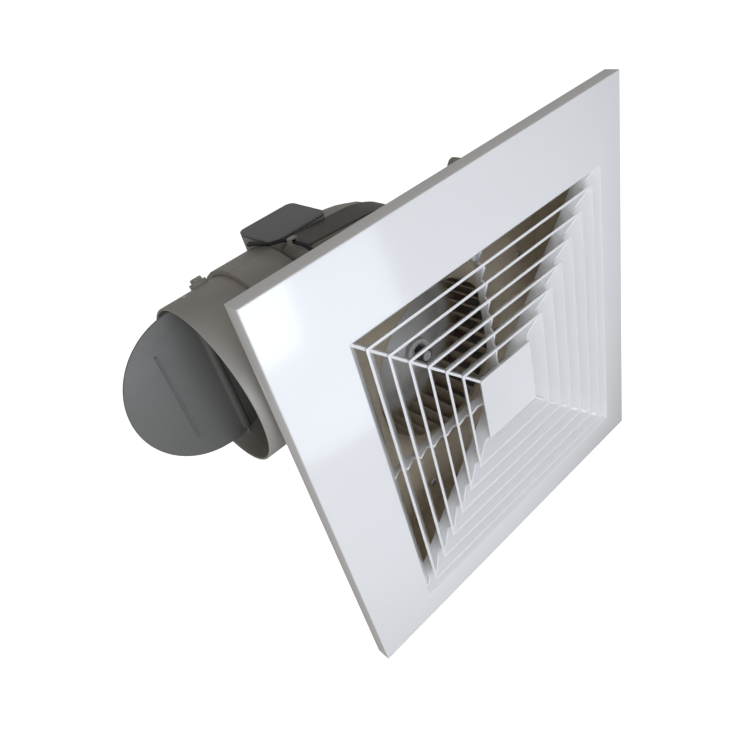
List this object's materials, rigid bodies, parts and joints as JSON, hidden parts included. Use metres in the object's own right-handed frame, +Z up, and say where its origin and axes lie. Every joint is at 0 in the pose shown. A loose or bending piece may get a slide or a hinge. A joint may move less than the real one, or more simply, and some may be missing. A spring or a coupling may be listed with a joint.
{
  "type": "bathroom extractor fan",
  "caption": "Square louvred grille over a tub frame, with a scroll casing, centrifugal wheel, shaded pole motor and round side duct spigot with a backdraught flap.",
  "frame": {"origin": "centre of the wall plane, which the rear edge of the grille and the rear face of the fixing flange touch", "axes": "+X to the right of somebody facing the grille, -Y out of the wall into the room, +Z up; the fan turns about Y"},
  "size_m": [0.3514, 0.1575, 0.3],
  "materials": {
    "white_gloss_plastic": "gloss",
    "casing_plastic": "satin",
    "impeller_plastic": "satin",
    "damper_plastic": "satin",
    "zinc_motor_shell": "zinc plated",
    "bright_steel": "bright plated",
    "dark_steel": "blackened",
    "lamination_steel": "raw",
    "copper_winding": "enamelled copper wire",
    "black_rubber": "matt",
    "label_film": "satin"
  },
  "bodies": {
    "housing": {"bearing_front": "bright_steel", "bearing_rear": "bright_steel", "casing_front_shell": "casing_plastic", "casing_rear_shell": "casing_plastic", "casing_screw_1": "dark_steel", "casing_screw_2": "dark_steel", "casing_screw_3": "dark_steel", "casing_screw_4": "dark_steel", "casing_screw_5": "dark_steel", "damper_pin": "bright_steel", "inlet_ring": "casing_plastic", "inlet_screw_1": "bright_steel", "inlet_screw_2": "bright_steel", "inlet_screw_3": "bright_steel", "inlet_screw_4": "bright_steel", "inlet_screw_5": "bright_steel", "lead_clip": "casing_plastic", "lead_grommet": "black_rubber", "motor_front_shell": "zinc_motor_shell", "motor_rear_shell": "zinc_motor_shell", "motor_screw_1": "bright_steel", "motor_screw_2": "bright_steel", "motor_screw_3": "bright_steel", "mounting_frame": "casing_plastic", "mounting_screw_1": "bright_steel", "mounting_screw_2": "bright_steel", "mounting_screw_3": "bright_steel", "mounting_screw_4": "bright_steel", "outlet_spigot": "casing_plastic", "rating_label": "label_film", "rubber_mount_1": "black_rubber", "rubber_mount_2": "black_rubber", "rubber_mount_3": "black_rubber", "stator_core": "lamination_steel", "supply_lead": "black_rubber", "terminal_block": "black_rubber", "terminal_box": "casing_plastic", "terminal_lid": "casing_plastic", "winding_front": "copper_winding", "winding_rear": "copper_winding"},
    "grille": {"grille_panel": "white_gloss_plastic", "grille_spring_upper": "bright_steel", "grille_spring_lower": "bright_steel"},
    "impeller": {"impeller_wheel": "impeller_plastic", "impeller_washer": "bright_steel", "impeller_nut": "dark_steel", "motor_shaft": "bright_steel", "rotor": "lamination_steel"},
    "damper": {"damper_flap": "damper_plastic"}
  },
  "joints": [
    {"name": "grille_pull", "type": "slide", "parent": "housing", "child": "grille", "axis": [0, -1, 0], "range_m": [0, 0.045], "stiffness_N_per_m": 30},
    {"name": "impeller_spin", "type": "hinge", "parent": "housing", "child": "impeller", "pos_m": [0, 0, 0], "axis": [0, 1, 0], "continuous": true},
    {"name": "damper_swing", "type": "hinge", "parent": "housing", "child": "damper", "pos_m": [-0.142, 0.0705, 0.0786], "axis": [0, 0, 1], "range_deg": [0, 90]}
  ]
}
